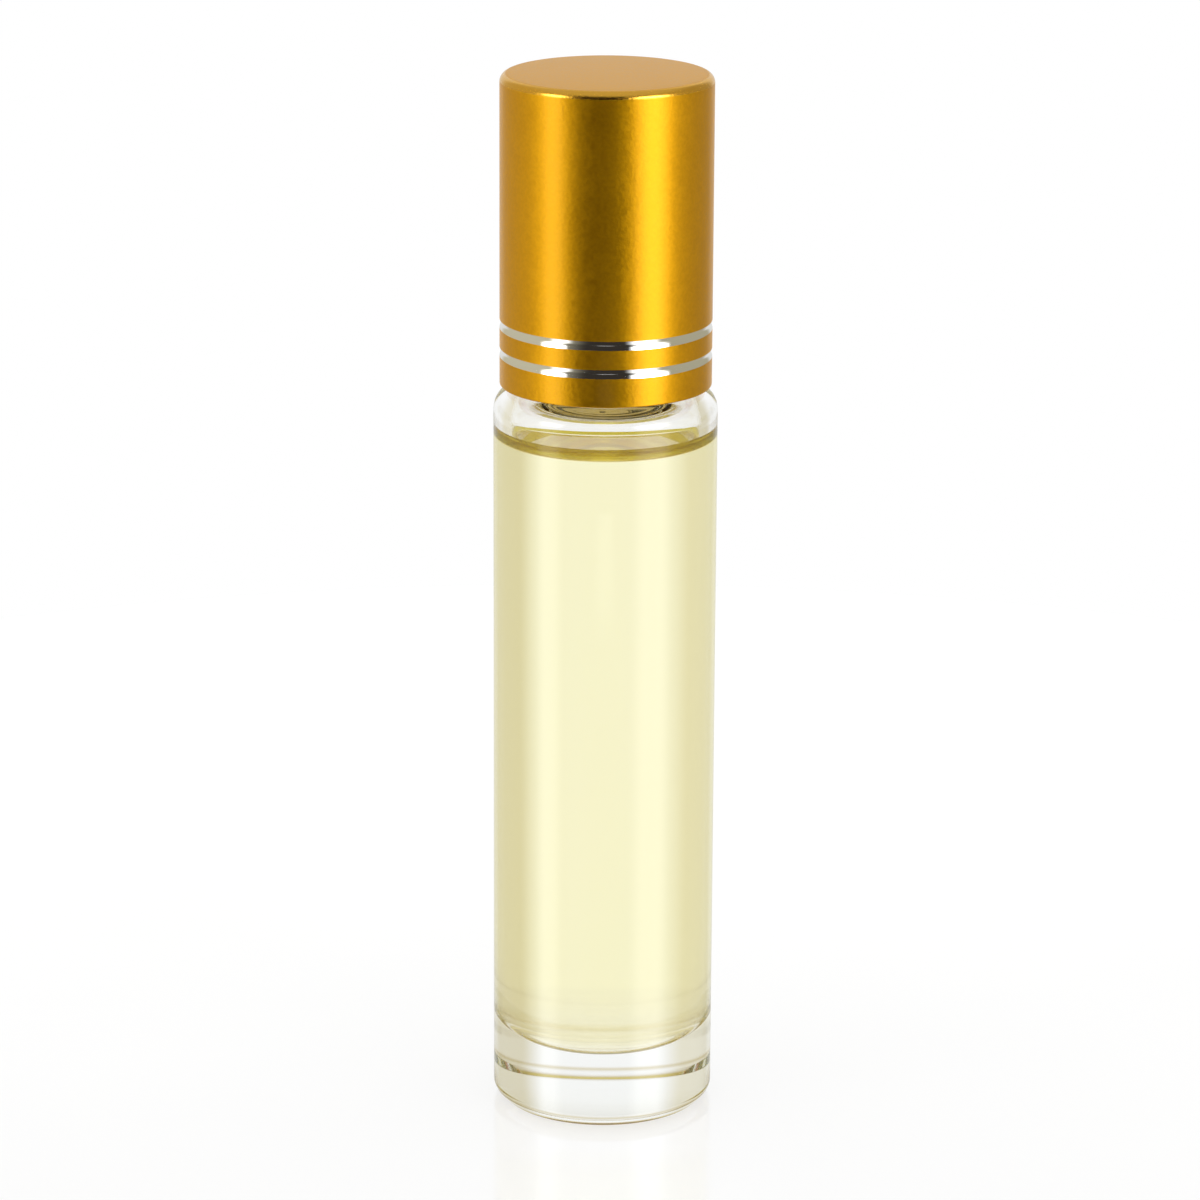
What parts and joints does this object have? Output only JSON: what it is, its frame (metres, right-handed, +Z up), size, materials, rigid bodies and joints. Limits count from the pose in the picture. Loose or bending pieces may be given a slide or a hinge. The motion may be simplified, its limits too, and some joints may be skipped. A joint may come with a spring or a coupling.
{
  "type": "roll on bottle",
  "caption": "Slim clear glass roll-on perfume bottle with a heavy base, a steel roller ball in a press-in housing, and a tall gold screw cap with bright cut bands.",
  "frame": {"origin": "centre of the base, on the surface the bottle stands on", "axes": "+Z up along the bottle's axis; +X and +Y across it"},
  "size_m": [0.02, 0.02, 0.0951],
  "materials": {
    "clear_glass": "clear, fire polished",
    "oil": "clear pale yellow oil",
    "natural_plastic": "natural, slightly translucent",
    "ball_steel": "polished",
    "pad_foam": "fine closed-cell foam",
    "gold_aluminium": "gold anodised satin with bright cut bands",
    "liner_plastic": "moulded white"
  },
  "bodies": {
    "bottle": {"glass_bottle": "clear_glass", "perfume_oil": "oil", "roller_housing": "natural_plastic"},
    "ball": {"roller_ball": "ball_steel"},
    "pad": {"sealing_pad": "pad_foam"},
    "cap": {"cap_shell": "gold_aluminium", "cap_liner": "liner_plastic"}
  },
  "joints": [
    {"name": "ball_roll", "type": "hinge", "parent": "bottle", "child": "ball", "pos_m": [0, 0, 0.0825], "axis": [1, 0, 0], "continuous": true},
    {"name": "cap_lift", "type": "slide", "parent": "bottle", "child": "pad", "axis": [0, 0, 1], "range_m": [0, 0.024]},
    {"name": "cap_turn", "type": "hinge", "parent": "pad", "child": "cap", "pos_m": [0, 0, 0.0672], "axis": [0, 0, 1], "range_deg": [0, 2880]}
  ],
  "couplings": [
    {"joint": "cap_lift", "follows": "cap_turn", "m_per_rad": 0.00047746}
  ]
}
